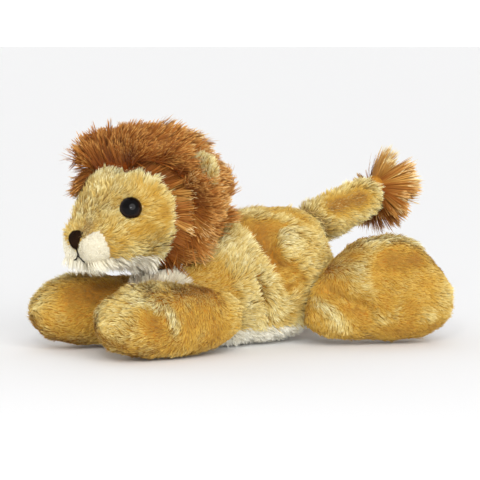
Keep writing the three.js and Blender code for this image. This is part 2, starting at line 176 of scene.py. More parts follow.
def move_points(obj, points):
    """Puts the points of an object's mesh at new places."""
    obj.data.vertices.foreach_set("co", points.astype(np.float32).ravel())
    obj.data.update()


def unit(v):
    """Each row of v, at length 1."""
    return v / np.maximum(np.linalg.norm(v, axis=1, keepdims=True), 1e-12)


def ripple(points, wavelength, seed):
    """A smooth random field near -1 to 1: the sum of ten sine waves, about a wavelength in mm long, that
    run in random directions."""
    rng = np.random.default_rng(seed)
    ways = unit(rng.standard_normal((10, 3))) * rng.uniform(0.7, 1.4, (10, 1))
    phase = rng.uniform(0, math.tau, 10)
    return np.sin(points @ ways.T * (math.tau / (wavelength * MM)) + phase).sum(1) / 3.2


def ease(low, high, x):
    """0 below low, 1 above high, and a smooth rise between them."""
    t = np.clip((x - low) / (high - low), 0, 1)
    return t * t * (3 - 2 * t)


print("tools for meshes ready")

# %% [markdown]
# Marks on the toy, such as a hollow in its pile, are drawn as paths and closed outlines in mm. A field
# then says for each point how near it is to a mark.

# %% Tools for marks on the toy
def in_mm(points):
    """The x, y and z of points, in mm."""
    return (points / MM).T


def on_side(points):
    """The x and z of points in mm, as seen from the toy's side."""
    return points[:, [0, 2]] / MM


def line_gap(points, path):
    """How far each point is from a path of straight parts. Both share one unit, in 2 or 3 axes."""
    path = np.array(path, float)
    a, way = path[:-1], np.diff(path, axis=0)
    from_a = points[:, None, :] - a
    t = np.clip((from_a * way).sum(2) / np.maximum((way * way).sum(1), 1e-12), 0, 1)
    return np.linalg.norm(from_a - t[:, :, None] * way, axis=2).min(1)


def bell(points, path, reach):
    """1 on a path, falling as a bell to nothing past its reach. All three share one unit."""
    return np.exp(-((line_gap(points, path) / reach) ** 2))


def near_line(points, start, end, reach):
    """The same bell, round the line between two points given in mm."""
    return bell(points / MM, [start, end], reach)


def outline_gap(points, outline):
    """Distance in mm from a closed outline on the toy's side, as (x, z) in mm: below 0 inside it.
    A point is inside where a level ray from it crosses the outline an odd number of times."""
    flat = on_side(points)
    ring = np.array(outline + outline[:1], float)
    (ax, az), (bx, bz) = ring[:-1].T, ring[1:].T
    x, z = flat[:, :1], flat[:, 1:]
    spans = (az > z) != (bz > z)
    crossing = ax + (z - az) / np.where(bz == az, 1e-9, bz - az) * (bx - ax)
    inside = (spans & (x < crossing)).sum(1) % 2 == 1
    return line_gap(flat, ring) * np.where(inside, -1, 1)


print("tools for marks ready")

# %% [markdown]
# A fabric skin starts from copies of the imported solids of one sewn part. A voxel remesh wraps them in
# one closed surface. Cloth with pressure then swells it, as stuffing does, and a cap keeps it near the
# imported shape, with no movement where it rests on the floor or is sewn to its neighbour.

# %% Closed skins
def evaluated_copy(obj, name):
    """A new plain mesh of an object with its modifiers applied. The old object goes."""
    graph = bpy.context.evaluated_depsgraph_get()
    mesh = bpy.data.meshes.new_from_object(obj.evaluated_get(graph))
    mesh.name = name
    bpy.data.objects.remove(obj)
    return placed(name, mesh)


def joined_nodes(names, plugs=()):
    """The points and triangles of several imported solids, and of any plugs, as one pair of arrays."""
    points, corners, start = [], [], 0
    for p, c, *_ in [read_mesh(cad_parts[n].data) for n in names] + list(plugs):
        points.append(p)
        corners.append(c + start)
        start += len(p)
    return np.concatenate(points), np.concatenate(corners)


def wrapped(name, names, voxel, rounds, plugs=()):
    """One closed skin round several solids: a voxel remesh in mm, then some rounds of smoothing."""
    base = write_triangles(name + "_solids", *joined_nodes(names, plugs))
    wrap = base.modifiers.new("wrap", "REMESH")
    wrap.mode, wrap.voxel_size, wrap.use_smooth_shade = "VOXEL", voxel * MM, True
    calm = base.modifiers.new("calm", "SMOOTH")
    calm.factor, calm.iterations = 0.5, rounds
    return evaluated_copy(base, name)


def finer(skin, levels=1):
    """The skin with each face split in four, `levels` times, and rounded."""
    split = skin.modifiers.new("finer", "SUBSURF")
    split.levels = split.render_levels = levels
    return evaluated_copy(skin, skin.name)


print("skin tools ready")

# %% Stuffing pressure
SWELL_FRAMES, SWELL_LIMIT = 20, 1.0


def nearest_gap(points, others):
    """How far each point is from the nearest of the other points, worked out in blocks."""
    blocks = np.array_split(points, max(1, len(points) // 500))
    return np.sqrt(np.concatenate([
        ((block[:, None, :] - others[None, :, :]) ** 2).sum(2).min(1) for block in blocks
    ]))


def swell(skin, pressure, neighbours):
    """Cloth under pressure for some frames. A point may move by at most the limit in mm, less near the
    floor and near the neighbouring solids, where the fabric is sewn down."""
    before, _, _ = read_mesh(skin.data)
    cloth = skin.modifiers.new("stuffing", "CLOTH")
    cloth.settings.use_pressure = True
    cloth.settings.uniform_pressure_force = pressure
    cloth.settings.mass = 0.05
    cloth.settings.effector_weights.gravity = 0
    cloth.point_cache.frame_start, cloth.point_cache.frame_end = 1, SWELL_FRAMES
    for step in range(1, SWELL_FRAMES + 1):
        bpy.context.scene.frame_set(step)
    skin = evaluated_copy(skin, skin.name)
    bpy.context.scene.frame_set(1)
    after, _, _ = read_mesh(skin.data)
    others, _ = joined_nodes(neighbours)
    unsewn = ease(1.5, 9, nearest_gap(before, others) / MM)
    limit = SWELL_LIMIT * MM * (unsewn * ease(0.3, 5, before[:, 2] / MM))
    move = after - before
    size = np.linalg.norm(move, axis=1)
    moved = np.minimum(size, limit)
    move_points(skin, before + move * (moved / np.maximum(size, 1e-9))[:, None])
    print(skin.name, len(before), "points, swelled by up to", round(float(moved.max() / MM), 2), "mm")
    return skin


# %% [markdown]
# Seven sewn parts and two ears get their skins. The head keeps its muzzle and chin in the same skin,
# and short plugs close the holes that the eyes' stems pass through.

# %% Eye axes and head plugs
HEAD_MIDDLE = np.array([-55.7, 0, 66.5]) * MM
EYE_SHIFT, RIGHT_EYE_IN = np.array([-0.7, 0, 0.9]) * MM, 0.9 * MM


def eye_axis(side):
    """The end of an eye's stem, the top of its dome and the way it looks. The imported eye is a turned
    solid, so its points spread evenly round its axis: the axis is one of their three main ways."""
    points, _, _ = read_mesh(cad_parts["eye_" + side].data)
    centre = points.mean(0)
    outwards = centre - HEAD_MIDDLE
    _, _, ways = np.linalg.svd(points - centre, full_matrices=False)
    way = ways[np.abs(ways @ outwards).argmax()]
    way = way * np.sign(way @ outwards)
    along = (points - centre) @ way
    centre = centre + EYE_SHIFT - way * (RIGHT_EYE_IN if side == "right" else 0)
    return centre + along.min() * way, centre + along.max() * way, way


def turned_form(profile, foot, way, sides):
    """A profile of (radius, height) in mm, turned round a way that starts at foot: closed at both ends."""
    side = unit(np.cross(way, [0, 0, 1.0])[None])[0]
    over = np.cross(way, side)
    angle = np.arange(sides) / sides * math.tau
    profile = np.array(profile) * MM
    rim = np.cos(angle)[:, None] * side + np.sin(angle)[:, None] * over
    rings = foot + profile[:, 1, None, None] * way + profile[:, 0, None, None] * rim
    ends = [foot + profile[0, 1] * way, foot + profile[-1, 1] * way]
    points = np.concatenate([rings.reshape(-1, 3), ends])
    k, j = np.meshgrid(np.arange(len(profile) - 1), np.arange(sides), indexing="ij")
    a, b = (k * sides + j).ravel(), (k * sides + (j + 1) % sides).ravel()
    walls = np.concatenate([np.stack([a, b, b + sides], 1), np.stack([a, b + sides, a + sides], 1)])
    j = np.arange(sides)
    first, last = len(points) - 2, len(points) - 1
    end = (len(profile) - 1) * sides
    caps = np.concatenate([
        np.stack([np.full(sides, first), (j + 1) % sides, j], 1),
        np.stack([np.full(sides, last), end + j, end + (j + 1) % sides], 1),
    ])
    return points, np.concatenate([walls, caps])


EYES = {side: eye_axis(side) for side in ("left", "right")}
plugs = [turned_form([(6, 1), (6, 9.4)], foot, way, 24) for foot, _, way in EYES.values()]
print("eye looks", {side: way.round(3).tolist() for side, (_, _, way) in EYES.items()})

# %% [markdown]
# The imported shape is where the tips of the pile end, so the cloth lies deeper. How deep varies: the
# flank has hollows pressed in behind full edges, and the thigh has a crease. The hollow, a narrow
# groove before it and the smooth shoulder are drawn on the toy's side as (x, z) in mm.

# %% Marks on the flank
HOLLOW = [
    (-15, 57), (-14.8, 53), (-13.6, 49), (-12.2, 44.6), (-10, 39.4), (-6.6, 34), (-3.2, 28.4), (0, 23.5),
    (7, 22.5), (14, 26), (14, 31), (10.5, 36), (5.5, 39.5), (1.5, 42), (0, 45), (1.5, 49), (5.5, 53),
    (9.5, 55.8), (4, 57.4), (-6, 57.8),
]
GROOVE = [
    (-16, 33), (-14, 33), (-11, 28), (-9, 22.5), (-4.5, 15), (-5.5, 13), (-8.5, 16), (-12.5, 22.5),
    (-14.8, 28),
]
DEEPEST = [(-5, 52), (-5.5, 44), (-1.5, 38)]
FULL_EDGE = [(-18, 55), (-16, 48), (-13, 41), (-8, 33), (-4, 25)]
SHOULDER = [(-48, 47), (-38, 44), (-32, 40.5), (-27, 34.5), (-23.5, 27), (-22, 18), (-30, 12), (-50, 30)]
FAR_SHIFT = np.array([6, 0, 0]) * MM


def by_flank(p):
    """Points to look up on the near flank: on the far flank the same marks lie a little further back."""
    return p - FAR_SHIFT * (p[:, 1:2] > 0)


print("flank marks", len(HOLLOW), len(GROOVE), len(SHOULDER), "corners")

# %% Depth of the cloth
def head_depth(p):
    """1.8 mm, but little at the muzzle, where the velour is short and its two halves bulge."""
    x, _, z = in_mm(p)
    halves = np.maximum(near_line(p, (-92, 8, 52), (-91, 8.5, 46), 5.5),
                        near_line(p, (-92, -7.5, 51), (-91, -8, 46), 5.5))
    return 1.8 * (1 - 0.8 * ease(-80, -86, x) * ease(60, 54, z)) - 2.7 * halves


def torso_depth(p):
    """The hollows are pressed in behind a full edge, and the band before each stands up a little."""
    side = by_flank(p)
    x, y, z = in_mm(p)
    flank = ease(6, 13, np.abs(y))
    deep = 2.6 * ease(0.5, -3.5, outline_gap(side, HOLLOW)) + 1.8 * bell(on_side(side), DEEPEST, 3.2)
    proud = 1.1 * bell(on_side(side), FULL_EDGE, 3.5)
    over = 1.5 * ease(54, 60, z) * ease(-16, -8, x)
    return 2.2 - over + flank * (deep - proud + 2.6 * ease(1, -1.2, outline_gap(side, GROOVE)))


def hind_depth(p):
    """A crease between knee and thigh, and a shallow hollow in the thigh's outer side."""
    _, y, z = in_mm(p)
    outer = ease(34, 42, np.abs(y))
    crease = bell(on_side(p), [(15, 28), (20, 23), (30, 18)], 3)
    hollow = bell(on_side(p), [(52, 41), (38, 39), (35, 31)], 5)
    return 2.0 - 1.8 * ease(42, 48, z) + outer * (3.6 * crease + 1.6 * hollow)


def drawn_in(skin, depth):
    """Moves a skin inwards by a depth in mm, a number or a function of place."""
    points, _, normals = read_mesh(skin.data)
    depth = depth(points) if callable(depth) else depth
    move_points(skin, points - normals * (np.broadcast_to(depth, len(points)) * MM)[:, None])
    return skin


print("depth fields ready")

# %% Skins of the sewn parts
LEGS = ("front_left", "front_right", "hind_left", "hind_right")
HEAD_NODES = ["head_cover", "muzzle_left", "muzzle_right", "chin_panel", "head_stuffing"]
LEG_DEPTHS = (1.5, 1.8, hind_depth, hind_depth)
# Each sewn part: its solids, its voxel in mm, its pressure, its neighbours and the depth of its cloth
SEWN = {
    "torso": (["torso_cover", "belly_panel", "torso_stuffing", "belly_pellet_bag"], 3.2, 10,
              [leg + "_leg_cover" for leg in LEGS] + ["tail_cover", "mane", "head_cover"], torso_depth),
    "head": (HEAD_NODES, 2.6, 40, ["torso_cover"], head_depth),
    "tail": (["tail_cover", "tail_stuffing"], 2.2, 60, ["torso_cover"], 1.4),
}
for leg, depth in zip(LEGS, LEG_DEPTHS):
    solids = [leg + "_leg_cover", leg + "_leg_stuffing", leg + "_paw_pellet_bag"]
    SEWN[leg + "_leg"] = (solids, 3.0, 12, ["torso_cover", "belly_panel"], depth)

# The near flank and thigh show folds, so their skins are split once more
FOLDED = ("torso", "hind_left_leg")
skins = {}
for part, (nodes, voxel, pressure, neighbours, depth) in SEWN.items():
    skin = wrapped(part + "_skin", nodes, voxel, 6, plugs if part == "head" else ())
    skin = swell(skin, pressure, neighbours)
    skins[part] = drawn_in(finer(skin, 2 if part in FOLDED else 1), depth)
    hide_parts(*nodes)
    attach(skins[part], part)

# %% [markdown]
# Plush is a woven backing with a pile of fine hairs. Blender's own hair would be lost in an export, so
# each hair here is a narrow strip of triangles. Its own UV map gives the colour: across, U picks the
# lock's shade, and along, V runs from root to tip. Roots are dark and rich, tips are pale, and one
# chart of colours serves every hair of a cloth. This is partly the cloth's own colour: the dark roots
# are also painted shade deep in the pile, and the pale tips are also a painted sheen.

# %% Pile finish
def paint(red, green, blue):
    """A screen colour from 0 to 255 as the linear colour that a shader takes."""
    c = np.array([red, green, blue]) / 255
    return (*np.where(c < 0.04045, c / 12.92, ((c + 0.055) / 1.055) ** 2.4), 1)


def ramp_of(tree, source, stops):
    """The colour that a ramp gives for a source, by its (position, colour) stops."""
    node = new_node(tree, "ShaderNodeValToRGB", {0: source})
    ramp = node.color_ramp
    while len(ramp.elements) < len(stops):
        ramp.elements.new(0.5)
    for element, (position, colour) in zip(ramp.elements, stops):
        element.position, element.color = position, colour
    return node.outputs[0]


def pile_finish(name, places, roots, middles, tips, roughness=0.55, sheen=0.1, turn=0.42, gloss=0.16):
    """A chart of colours read by the pile's UV map: U along three ramps, whose stops share their places,
    and V from root to tip. At turn the middle's colour is reached."""
    made, tree, shader = new_finish(name, roughness, gloss)
    chart = new_node(tree, "ShaderNodeUVMap")
    chart.uv_map = "OFBake"
    split = new_node(tree, "ShaderNodeSeparateXYZ", {0: chart.outputs[0]})
    colour, middle, tip = (
        ramp_of(tree, split.outputs[0], [(place, paint(*colour)) for place, colour in zip(places, colours)])
        for colours in (roots, middles, tips)
    )
    for low, high, shade in ((0.05, turn, middle), (turn, 0.95, tip)):
        rise = new_node(tree, "ShaderNodeMapRange", {0: split.outputs[1], "From Min": low, "From Max": high})
        rise.interpolation_type = "SMOOTHSTEP"
        mix = new_node(tree, "ShaderNodeMix")
        mix.data_type = "RGBA"
        feed(tree, mix, {"Factor": rise.outputs[0], 6: colour, 7: shade})
        colour = mix.outputs[2]
    feed(tree, shader, {"Sheen Weight": sheen, "Sheen Roughness": 0.5, "Base Color": colour})
    return made


# dark roots and pale tips in each chart: partly the pile's colour, partly painted shade and painted sheen
golden_pile = pile_finish(
    "golden_pile", (0.0, 0.3, 0.65, 1.0),
    [(140, 90, 26), (172, 124, 38), (150, 120, 54), (150, 128, 74)],
    [(154, 106, 36), (196, 151, 54), (204, 174, 96), (222, 203, 136)],
    [(164, 117, 45), (208, 167, 72), (236, 217, 142), (252, 248, 206)],
)
cream_pile = pile_finish(
    "cream_pile", (0.0, 0.25, 1.0),
    # the stops at 0 are a dull beige for the bib: painted shade under the chin
    [(160, 142, 114), (220, 208, 178), (236, 230, 206)],
    [(184, 166, 138), (236, 228, 202), (246, 241, 222)],
    [(204, 188, 162), (242, 237, 216), (253, 251, 240)],
)
# the mane's dark roots are partly its colour, partly painted shadow deep in the mane
mane_pile = pile_finish(
    "mane_pile", (0.0, 0.5, 1.0),
    [(108, 52, 16), (134, 72, 22), (176, 118, 46)],
    [(134, 76, 28), (164, 100, 38), (214, 164, 84)],
    [(178, 118, 54), (214, 160, 86), (250, 236, 180)],
    sheen=0.03, turn=0.76, gloss=0.12,
)
print("pile finishes", [m.name for m in bpy.data.materials])

# %% [markdown]
# Between the hairs the backing shows: a knit of two soft shades. A noise on Object coordinates is
# enough for it, because so little of it is seen, and the same noise gives a small bump.

# %% Backing finish
def backing_finish(name, colour, dark):
    """The cloth under the pile: a fine knit of two soft shades, with a small bump."""
    made, tree, shader = new_finish(name, 0.9, 0.05)
    place = new_node(tree, "ShaderNodeTexCoord").outputs["Object"]
    knit = new_node(tree, "ShaderNodeTexNoise", {"Vector": place, "Scale": 420, "Detail": 4}).outputs[0]
    shade = ramp_of(tree, knit, [(0.3, paint(*dark)), (0.7, paint(*colour))])
    bump = new_node(tree, "ShaderNodeBump", {"Strength": 0.5, "Distance": 0.0004, "Height": knit})
    feed(tree, shader, {"Base Color": shade, "Normal": bump.outputs[0]})
    return made


golden_backing = backing_finish("golden_backing", (186, 130, 50), (160, 104, 34))
cream_backing = backing_finish("cream_backing", (222, 216, 196), (206, 198, 176))
orange_backing = backing_finish("orange_backing", (140, 72, 24), (112, 52, 14))
straw_backing = backing_finish("straw_backing", (200, 172, 112), (172, 142, 84))


def dressed(skin, finishes, part_of=None):
    """Gives a skin its backings: part_of(face middles) says which finish each face wears."""
    for finish in finishes:
        skin.data.materials.append(finish)
    if part_of:
        points, _, _ = read_mesh(skin.data)
        sizes = read_all(skin.data.polygons, "loop_total", 1, np.int32)
        around = read_all(skin.data.loops, "vertex_index", 1, np.int32)[:, 0]
        first = np.concatenate([[0], np.cumsum(sizes)[:-1]])
        middles = np.add.reduceat(points[around], first) / sizes
        skin.data.polygons.foreach_set("material_index", part_of(middles).astype(np.int32))


dressed(skins["tail"], [straw_backing])
for leg in LEGS:
    dressed(skins[leg + "_leg"], [golden_backing])
print("backings ready")

# %% [markdown]
# To lay a pile, roots are spread evenly over a skin. A brush direction says which way the hairs lie,
# and it turns a little from place to place, as pile does where a hand has stroked it. Hairs in one
# small cell make a lock: they lean towards its middle and share its length and shade.

# %% Roots and locks
def roots_on(skin, per_mm2, rng):
    """Points spread over a skin by area, with the normals there: each triangle gets its share in turn."""
    points, corners, normals = read_mesh(skin.data)
    a, b, c = (points[corners[:, k]] for k in range(3))
    total = np.cumsum(np.linalg.norm(np.cross(b - a, c - a), axis=1) / 2)
    count = int(total[-1] * 1e6 * per_mm2)
    chosen = np.searchsorted(total, (np.arange(count) + rng.random(count)) / count * total[-1])
    r, s = np.sqrt(rng.random(count)), rng.random(count)
    share = np.stack([1 - r, r * (1 - s), r * s], 1)[:, :, None]
    hit = corners[chosen]
    return (points[hit] * share).sum(1), unit((normals[hit] * share).sum(1))


def locks_of(root, cell, seed):
    """The number of the lock that each root is in: cells of a size in mm, which a ripple bends."""
    shift = np.stack([ripple(root, 9, seed + k) for k in (1, 2, 3)], 1)
    cells = np.floor((root + shift * cell * 0.4 * MM) / (cell * MM)).astype(int)
    return np.unique(cells, axis=0, return_inverse=True)[1].ravel()


def lock_mean(values, lock):
    """For each row of three values, the mean over its lock."""
    size = np.bincount(lock)
    return np.stack([np.bincount(lock, values[:, k]) / size for k in range(3)], 1)[lock]


def turned_by(v, axis, angle):
    """Each row of v turned round a unit axis at right angles to it."""
    return v * np.cos(angle)[:, None] + np.cross(axis, v) * np.sin(angle)[:, None]


def finish_strips(name, points, count, bits, share, shade, finish, body):
    """Joins the points of many tapered strips into one mesh, with the pile's UV map, finish and body."""
    k = np.arange(bits - 1) * 2
    pattern = np.concatenate([
        np.stack([k, k + 2, k + 1], 1), np.stack([k + 1, k + 2, k + 3], 1),
        [[2 * bits - 2, 2 * bits, 2 * bits - 1]],
    ])
    corners = (pattern[None] + (np.arange(count) * (2 * bits + 1))[:, None, None]).reshape(-1, 3)
    made = write_triangles(name, points, corners)
    pair = np.stack([shade - 0.005, shade + 0.005], 1)
    u = np.concatenate([np.tile(pair, (1, bits)), shade[:, None]], 1)
    v = np.concatenate([np.repeat(share[:-1], 2), [1.0]])
    uv = np.stack([u, np.broadcast_to(v, u.shape)], 2).reshape(-1, 2)
    layer = made.data.uv_layers.new(name="OFBake")
    layer.data.foreach_set("uv", uv[corners.ravel()].astype(np.float32).ravel())
    made.data.materials.append(finish)
    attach(made, body)
    print(name, count, "hairs,", len(corners), "triangles")


print("root and lock tools ready")

# %% Laying the pile
ROOT_DEPTH, FLOOR_GAP = 0.2 * MM, 0.08 * MM


def lay_pile(name, skin, finish, per_mm2, length, width, way, tone, keep=None, rise=(1.0, 0.35), cell=1.9,
             gather=0.65, bits=3, wander=0.45, uneven=0.1, apart=1, blunt=False, seed=1, body=None):
    """Hairs on a skin, as one mesh. Each bit of a hair goes its share of the length along cos(lean) of the
    way it lies plus sin(lean) of the normal, where lean falls from rise[0] to rise[1] (radians). Then it
    is drawn towards its lock's middle by gather times its distance from it, more at the tip. Width falls
    to a point. way, tone and keep are functions of the roots and normals, and length and rise may be.
    Where the tone is low the pile lies flat and even, as in a stroked hollow. Apart says how much locks
    differ, and blunt gives hairs that keep their width to nine tenths of their length."""
    rng = np.random.default_rng(seed)
    root, normal = roots_on(skin, per_mm2, rng)
    if keep is not None:
        stays = rng.random(len(root)) < keep(root, normal)
        root, normal = root[stays], normal[stays]
    count = len(root)
    lock = locks_of(root, cell, seed)
    of_lock = rng.standard_normal((lock.max() + 1, 4))[lock] * apart
    own = rng.standard_normal((count, 4))

    lie = way(root, normal)
    lie = unit(lie - (lie * normal).sum(1)[:, None] * normal)
    shade = tone(root, normal)
    calm = ease(0.6, 0.2, shade)
    loose = 1 - 0.7 * calm
    lie = turned_by(lie, normal, wander * ripple(root, 17, seed + 7)
                    + loose * (0.16 * of_lock[:, 0] + 0.13 * own[:, 0]))
    reach = length(root, normal) if callable(length) else np.full(count, float(length))
    reach = reach * MM * np.clip(1 + 0.13 * of_lock[:, 1] + uneven * own[:, 1], 0.4, 1.5)
    leans = rise(root, normal) if callable(rise) else np.broadcast_to(rise, (count, 2))

    at, steps = root - normal * ROOT_DEPTH, np.arange(1, bits + 1) / bits
    if blunt:
        steps = np.append(np.arange(1, bits) * 0.9 / (bits - 1), 1)
    upright = unit(normal * (1 - gather) + lock_mean(normal, lock) * gather)
    spine = [at]
    for share, part in zip(steps, np.diff(steps, prepend=0)):
        lean = leans[:, 0] + (leans[:, 1] - leans[:, 0]) * (share - 0.5 * part)
        lean = (lean + 0.13 * of_lock[:, 2] + 0.1 * own[:, 2]) * (1 - 0.5 * calm)
        at = at + (reach * part)[:, None] * (np.cos(lean)[:, None] * lie + np.sin(lean)[:, None] * upright)
        spine.append(at)
    spine = np.stack(spine, 1)
    share = np.concatenate([[0], steps])
    to_lock = (root - lock_mean(root, lock))[:, None, :]
    spine -= to_lock * (gather * loose[:, None, None] * share[:, None] ** 1.4)
    spine[:, :, 2] = np.maximum(spine[:, :, 2], FLOOR_GAP)

    across = unit(turned_by(np.cross(lie, normal), lie, 0.55 * own[:, 3]))[:, None, :]
    half = (width * MM / 2 * (1 - (0.15 if blunt else 0.45) * share[:-1]))[:, None]
    strip = np.stack([spine[:, :-1] - across * half, spine[:, :-1] + across * half], 2)
    points = np.concatenate([strip.reshape(count, 2 * bits, 3), spine[:, -1:]], 1).reshape(-1, 3)
    shade = np.clip(shade + loose * (0.08 * of_lock[:, 3] + 0.12 * own[:, 3]), 0.006, 0.994)
    finish_strips(name, points, count, bits, share, shade, finish, body)


print("pile tools ready")

# %% [markdown]
# Torso pile: the hair lies back from the neck to the tail and a little down. On the flanks there are
# smooth golden hollows between shaggy pale bands. One number, the tone, carries both: it picks the
# colour, and where it is low the hairs are short and calm, as in a stroked patch of real plush.

# %% Fields of the torso pile
def patches(points, base, spots):
    """A base value, pulled towards each spot's value near it: (start, end, reach, value), in mm."""
    value = np.full(len(points), float(base))
    for start, end, reach, aim_at in spots:
        value += near_line(points, start, end, reach) * (aim_at - value)
    return value


def torso_way(p, n):
    """Backwards and up on the shoulder band, level behind the hollow, and down towards the belly."""
    x, _, z = in_mm(p)
    up = 0.95 * ease(2, -12, x) * ease(22, 40, z) - 0.35 * ease(30, 8, z)
    return np.stack([np.ones(len(p)), np.zeros(len(p)), up], 1)


def torso_tone(p, n):
    """Pale straw bands, with the smooth golden hollows of the flank. Painted shade makes the hollows
    darkest along their deepest line, and also darkens the groove and the top edge.
    """
    x, _, z = in_mm(p)
    side = by_flank(p)
    rough = 0.5 * ripple(p, 5, 6)
    hollow = ease(0.8, -0.8, outline_gap(side, HOLLOW) + rough)
    shoulder = ease(1.5, -2.5, outline_gap(side, SHOULDER) + rough)
    groove = ease(0.6, -0.6, outline_gap(side, GROOVE) + 0.5 * rough)
    # painted shade: the straw is made darker on the top edge, above z 52 mm
    straw = 0.74 - 0.18 * ease(0, 14, x) - 0.2 * ease(52, 60, z) + 0.11 * ripple(p, 14, 5)
    # painted shade: the hollow is darkest along its deepest line
    bottom = 0.2 - 0.2 * bell(on_side(side), DEEPEST, 4.5) + 0.04 * ripple(p, 12, 7)
    bottom += ease(42, 30, z) * (0.14 + 0.14 * ripple(p * [1, 1, 2.5], 7, 8))
    tone = straw * (1 - hollow) + bottom * hollow
    tone = tone * (1 - shoulder) + 0.36 * shoulder
    # painted shade: the groove gets the darkest tone
    return tone * (1 - groove) + 0.02 * groove


def torso_length(p, n):
    """Long in the straw bands, short in the smooth hollows."""
    return 2.0 + 2.6 * ease(0.3, 0.6, torso_tone(p, n))


def belly_part(p):
    """1 where the cream belly panel is: low on the flanks, and climbing to the throat in front."""
    x, _, z = in_mm(p)
    edge = np.where(x < -39, 10 + (-39 - x) * 2.9, 10)
    return ease(0.8, -0.8, z - edge + 0.5 * ripple(p, 8, 3)) * ease(29, 27, x)


def belly_tone_and_bib_shade(p, n):
    """Painted shade: dull at the bib, which lies in the shade of the chin, and bright under the body."""
    return 0.14 + 0.66 * ease(-34, -24, p[:, 0] / MM) + 0.1 * ripple(p, 10, 4)


print("torso fields ready")

# %% Torso pile
dressed(skins["torso"], [golden_backing, cream_backing], lambda p: belly_part(p) > 0.5)
for side, sign, per_mm2 in (("left", -1, 5), ("right", 1, 4.2)):
    lay_pile("torso_pile_" + side, skins["torso"], golden_pile, per_mm2, torso_length, 0.34, torso_way,
             torso_tone, keep=lambda p, n: (1 - belly_part(p)) * (p[:, 1] * sign > 0),
             rise=(0.9, 0.25), gather=0.35, cell=1.5, seed=11 + sign, body="torso")
lay_pile("belly_pile", skins["torso"], cream_pile, 3.6, 4.0, 0.42, torso_way, belly_tone_and_bib_shade,
         keep=lambda p, n: belly_part(p), rise=(1.0, 0.4), seed=12, body="torso")

# %% [markdown]
# The legs come in pairs, so one set of fields serves both sides: a point on the right is looked up at
# its mirror image on the left, and the answer is mirrored back.

# %% Fields of the leg piles
def mirror_of(p):
    """1 in every axis for a point on the left, and -1 in y for one on the right."""
    ones = np.ones(len(p))
    return np.stack([ones, np.where(p[:, 1] > 0, -1.0, 1.0), ones], 1)


def both_sides(field):
    """A direction field for the left side that serves both: mirrored in, and mirrored out."""
    return lambda p, n: field(p * mirror_of(p), n * mirror_of(p)) * mirror_of(p)


def left_values(field):
    """A field of plain values for the left side, that serves both."""
    return lambda p, n: field(p * mirror_of(p), n * mirror_of(p))


@both_sides
def front_way(p, n):
    """To the paw over the front and the top of the leg, and down over the side behind the whorl."""
    x, _, z = in_mm(p)
    behind = ease(-80, -62, x)[:, None]
    top = ease(22, 33, z)[:, None]
    rear = ease(-48, -36, x)[:, None]
    side = (1 - top) * np.array([-0.15, -0.2, -0.95]) + top * np.array([-1.0, -0.5, -0.1])
    side = side * (1 - rear) + rear * np.array([0.9, -0.1, -0.5])
    whorl = near_line(p, (-76, -44, 26), (-68, -45, 18), 4)[:, None] * np.array([0.6, 0, -1.2]) * 1.2
    return (1 - behind) * np.array([-1, -0.1, 0.12]) + behind * side + whorl


@left_values
def front_tone(p, n):
    """Golden, with straw at the paw's tip and top, bright tufts at the whorl, and painted shade inside."""
    return patches(p, 0.34, [
        ((-97, -26, 26), (-90, -38, 22), 9, 0.72),
        ((-84, -34, 32), (-64, -30, 34), 8, 0.8),
        ((-54, -28, 34), (-38, -30, 31), 6, 0.3),
        ((-84, -44, 20), (-79, -44, 19), 5, 0.12),
        ((-84, -40, 28), (-79, -42, 26), 3, 0.95),
        ((-74, -43, 27), (-69, -45.4, 16), 2.2, 1.0),
        ((-62, -42, 26), (-68, -45.4, 16), 1.7, 0.9),
        ((-60, -44, 20), (-42, -42, 14), 9, 0.22),
        ((-34, -36, 24), (-33, -38, 12), 5, 0.5),
        # painted shade: darkest on the inner side of each paw, towards the other paw and the bib
        ((-85, -12, 26), (-64, -12, 30), 8, 0.04),
    ]) + 0.07 * ripple(p, 12, 21)


@both_sides
def hind_way(p, n):
    """Down over the front of the thigh, backwards along the side, and down over the top ridge."""
    x, _, z = in_mm(p)
    front = ease(34, 18, x)[:, None]
    ridge = ease(30, 44, z)[:, None]
    way = (1 - front) * np.array([0.9, -0.25, -0.15]) + front * np.array([0.35, 0, -1.0])
    return way * (1 - ridge) + ridge * np.array([0.6, -1.0, -0.2])


@left_values
def hind_tone(p, n):
    """Golden hollows under a straw ridge, with bright tufts low down and a pale fold over the thigh.
    Painted shade makes the crease between knee and thigh darkest.
    """
    return patches(p, 0.34, [
        ((20, -40, 44), (27, -47, 32), 7, 0.58),
        ((34, -42, 48), (62, -46, 47), 5, 0.8),
        ((40, -52, 42), (54, -57, 41), 5.5, 0.02),
        ((36, -54, 38), (34, -53, 31), 4, 0.1),
        ((29, -50, 30), (29, -50, 24), 3, 0.64),
        # painted shade: darkest along the crease between knee and thigh
        ((17, -41, 27), (29, -50, 18), 4.2, 0.0),
        ((9, -34, 25), (21, -43, 14), 2.4, 0.9),
        ((17, -42, 11), (24, -45, 9), 2.6, 0.95),
        ((31, -52, 18), (36, -53.5, 12), 2.6, 1.05),
        ((56, -63.5, 15), (59, -63.5, 12), 2.6, 1.05),
        ((66, -64, 30), (72, -62, 12), 5, 0.6),
        ((38, -52, 5), (62, -60, 5), 5, 0.12),
    ]) + 0.07 * ripple(p, 12, 31)


def limb_length(tone):
    """Pile lengths for a limb: short and even in its golden hollows, longer where it is straw."""
    return lambda p, n: 2.2 + 2.0 * ease(0.25, 0.65, tone(p, n))


print("leg fields ready")

